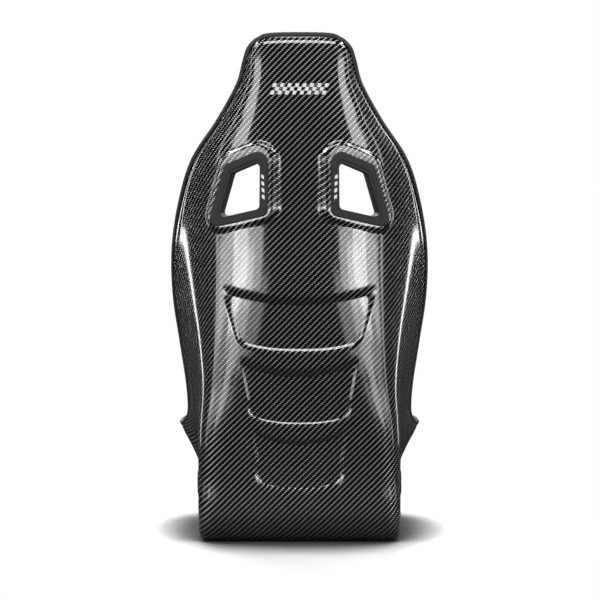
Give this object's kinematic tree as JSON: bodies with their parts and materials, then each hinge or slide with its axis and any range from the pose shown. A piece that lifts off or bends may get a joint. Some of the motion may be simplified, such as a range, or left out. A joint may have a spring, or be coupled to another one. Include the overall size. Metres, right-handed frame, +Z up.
{
  "type": "racing bucket seat",
  "caption": "One-piece carbon racing bucket seat with rubber edge, shoulder, lap and crotch belt openings, bonded pads, lift-off cushions and threaded side mounts.",
  "frame": {"origin": "on the surface the seat stands on, under the middle of its overall length and width", "axes": "+Z up; the seat faces -Y, so the back of the shell faces +Y; +X is to the sitter's left"},
  "size_m": [0.4888, 0.5606, 0.9327],
  "materials": {
    "carbon_laminate": "clear-coated 2x2 twill carbon",
    "edge_rubber": "matte",
    "bezel_rubber": "matte, fine grain",
    "plate_aluminium": "machined",
    "bush_steel": "zinc plated",
    "pad_fabric": "knitted spacer mesh",
    "bolster_fabric": "brushed technical fabric",
    "hook_tape": "hook-and-loop tape",
    "cushion_fabric": "knitted spacer mesh, sewn channels",
    "cushion_foam": "open-cell foam",
    "backing_cloth": "loop cloth"
  },
  "bodies": {
    "seat": {"shell": "carbon_laminate", "edge_trim": "edge_rubber", "harness_bezel_rear_left": "bezel_rubber", "harness_bezel_rear_right": "bezel_rubber", "harness_bezel_front_left": "bezel_rubber", "harness_bezel_front_right": "bezel_rubber", "lap_belt_grommet_left": "bezel_rubber", "lap_belt_grommet_right": "bezel_rubber", "crotch_strap_grommet": "bezel_rubber", "mount_plate_left": "plate_aluminium", "mount_plate_right": "plate_aluminium", "mount_bushes": "bush_steel", "head_pad": "pad_fabric", "upper_back_pad": "pad_fabric", "mid_back_pad": "pad_fabric", "lower_back_pad": "pad_fabric", "pan_pad": "pad_fabric", "shoulder_bolster_left": "bolster_fabric", "shoulder_bolster_right": "bolster_fabric", "side_bolster_left": "bolster_fabric", "side_bolster_right": "bolster_fabric", "thigh_bolster_left": "bolster_fabric", "thigh_bolster_right": "bolster_fabric", "base_hook_strips": "hook_tape", "lumbar_hook_strips": "hook_tape", "head_hook_strips": "hook_tape"},
    "base_cushion": {"base_cushion_cover": "cushion_fabric", "base_cushion_foam": "cushion_foam", "base_cushion_backing": "backing_cloth"},
    "lumbar_cushion": {"lumbar_cushion_cover": "cushion_fabric", "lumbar_cushion_foam": "cushion_foam", "lumbar_cushion_backing": "backing_cloth"},
    "head_cushion": {"head_cushion_cover": "cushion_fabric", "head_cushion_foam": "cushion_foam", "head_cushion_backing": "backing_cloth"}
  },
  "joints": [
    {"name": "base_cushion_lift_off", "type": "slide", "parent": "seat", "child": "base_cushion", "axis": [0, -0.3489, 0.9371], "range_m": [0, 0.08]},
    {"name": "lumbar_cushion_lift_off", "type": "slide", "parent": "seat", "child": "lumbar_cushion", "axis": [0, -0.6, 0.8], "range_m": [0, 0.08]},
    {"name": "head_cushion_lift_off", "type": "slide", "parent": "seat", "child": "head_cushion", "axis": [0, -0.9371, 0.3489], "range_m": [0, 0.08]}
  ]
}
